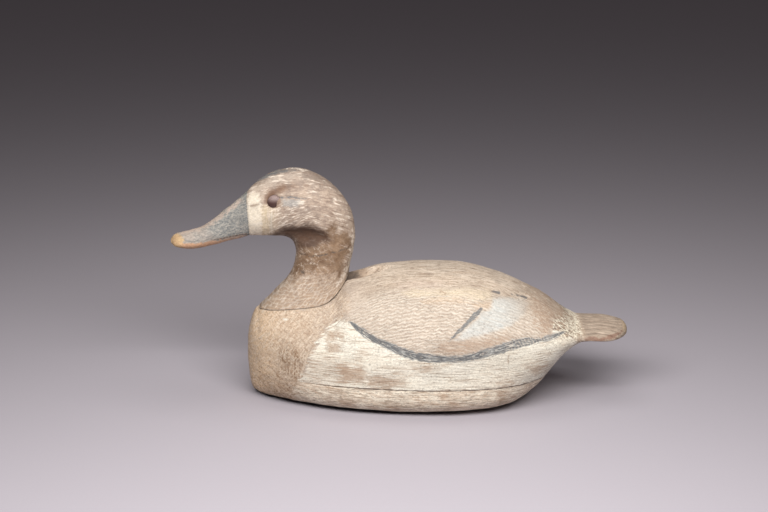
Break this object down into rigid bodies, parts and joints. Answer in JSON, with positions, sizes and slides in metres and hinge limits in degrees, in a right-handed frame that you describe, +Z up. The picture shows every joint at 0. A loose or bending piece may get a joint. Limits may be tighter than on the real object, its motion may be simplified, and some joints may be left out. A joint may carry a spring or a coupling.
{
  "type": "canvasback decoy",
  "caption": "Carved wooden floating duck decoy with a raised head on a curved neck seat, hollow-carved body, bottom board and paddle tail.",
  "frame": {"origin": "on the table under the middle of the bird's bounding box", "axes": "-X towards the bill, -Y towards the bird's own left side, +Z up"},
  "size_m": [0.4315, 0.168, 0.2189],
  "materials": {
    "painted_body": "worn matte paint over wood: tan breast and back, off-white sides, slate line along the wing",
    "painted_board": "worn cream paint over wood with brown spots",
    "painted_head": "worn matte paint over wood: tan head, white face patch, blue-grey bill",
    "eye": "dark reddish brown glass, dulled by dust and paint"
  },
  "bodies": {
    "root": {"body": "painted_body", "bottom_board": "painted_board", "head_neck": "painted_head", "eye_left": "eye", "eye_right": "eye"}
  },
  "joints": []
}
